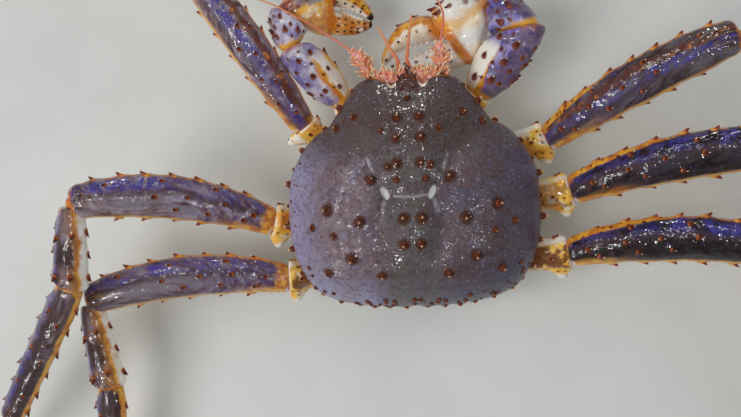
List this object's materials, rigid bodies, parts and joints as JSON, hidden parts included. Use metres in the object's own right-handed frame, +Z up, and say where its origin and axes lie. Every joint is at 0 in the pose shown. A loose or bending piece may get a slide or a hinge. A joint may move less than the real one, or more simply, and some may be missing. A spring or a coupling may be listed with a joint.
{
  "type": "blue king crab",
  "caption": "Life-size blue king crab, still: broad spiny back shell, long spiny walking legs spread on the floor, uneven claws folded before its face.",
  "frame": {"origin": "on the flat underside of the folded tail flap, on the floor, under the middle of the back shell", "axes": "+X to the crab's right, +Y forward, towards its face, +Z up"},
  "size_m": [0.7395, 0.5231, 0.1009],
  "materials": {
    "back_shell": "wet slate-grey and purple-brown shell, low gloss, fine bumps",
    "leg_shell": "wet purple-brown shell with blue-violet bands and gold edges",
    "claw_shell": "wet blue-violet shell, cream on the inner faces and fingers",
    "joint_shell": "wet yellow-orange shell with white edges",
    "pale_shell": "cream-white underside shell, satin",
    "feeler": "orange-red feelers and mouth limbs, satin",
    "eye": "black glossy eye on a short red-brown stalk"
  },
  "bodies": {
    "root": {"carapace": "back_shell", "thorax": "pale_shell", "head": "pale_shell", "abdomen": "pale_shell", "claw_left_coxa": "joint_shell", "claw_left_ischium": "joint_shell", "claw_left_merus": "claw_shell", "claw_left_carpus": "claw_shell", "claw_left_palm": "claw_shell", "claw_left_finger": "claw_shell", "claw_right_coxa": "joint_shell", "claw_right_ischium": "joint_shell", "claw_right_merus": "claw_shell", "claw_right_carpus": "claw_shell", "claw_right_palm": "claw_shell", "claw_right_finger": "claw_shell", "leg2_left_coxa": "joint_shell", "leg2_left_ischium": "joint_shell", "leg2_left_merus": "leg_shell", "leg2_left_carpus": "leg_shell", "leg2_left_propodus": "leg_shell", "leg2_left_dactyl": "leg_shell", "leg2_right_coxa": "joint_shell", "leg2_right_ischium": "joint_shell", "leg2_right_merus": "leg_shell", "leg2_right_carpus": "leg_shell", "leg2_right_propodus": "leg_shell", "leg2_right_dactyl": "leg_shell", "leg3_left_coxa": "joint_shell", "leg3_left_ischium": "joint_shell", "leg3_left_merus": "leg_shell", "leg3_left_carpus": "leg_shell", "leg3_left_propodus": "leg_shell", "leg3_left_dactyl": "leg_shell", "leg3_right_coxa": "joint_shell", "leg3_right_ischium": "joint_shell", "leg3_right_merus": "leg_shell", "leg3_right_carpus": "leg_shell", "leg3_right_propodus": "leg_shell", "leg3_right_dactyl": "leg_shell", "leg4_left_coxa": "joint_shell", "leg4_left_ischium": "joint_shell", "leg4_left_merus": "leg_shell", "leg4_left_carpus": "leg_shell", "leg4_left_propodus": "leg_shell", "leg4_left_dactyl": "leg_shell", "leg4_right_coxa": "joint_shell", "leg4_right_ischium": "joint_shell", "leg4_right_merus": "leg_shell", "leg4_right_carpus": "leg_shell", "leg4_right_propodus": "leg_shell", "leg4_right_dactyl": "leg_shell", "eye_left": "eye", "eye_right": "eye", "antennule_left": "feeler", "antennule_right": "feeler", "antenna_left": "feeler", "antenna_right": "feeler", "maxilliped_left": "feeler", "maxilliped_right": "feeler"}
  },
  "joints": []
}
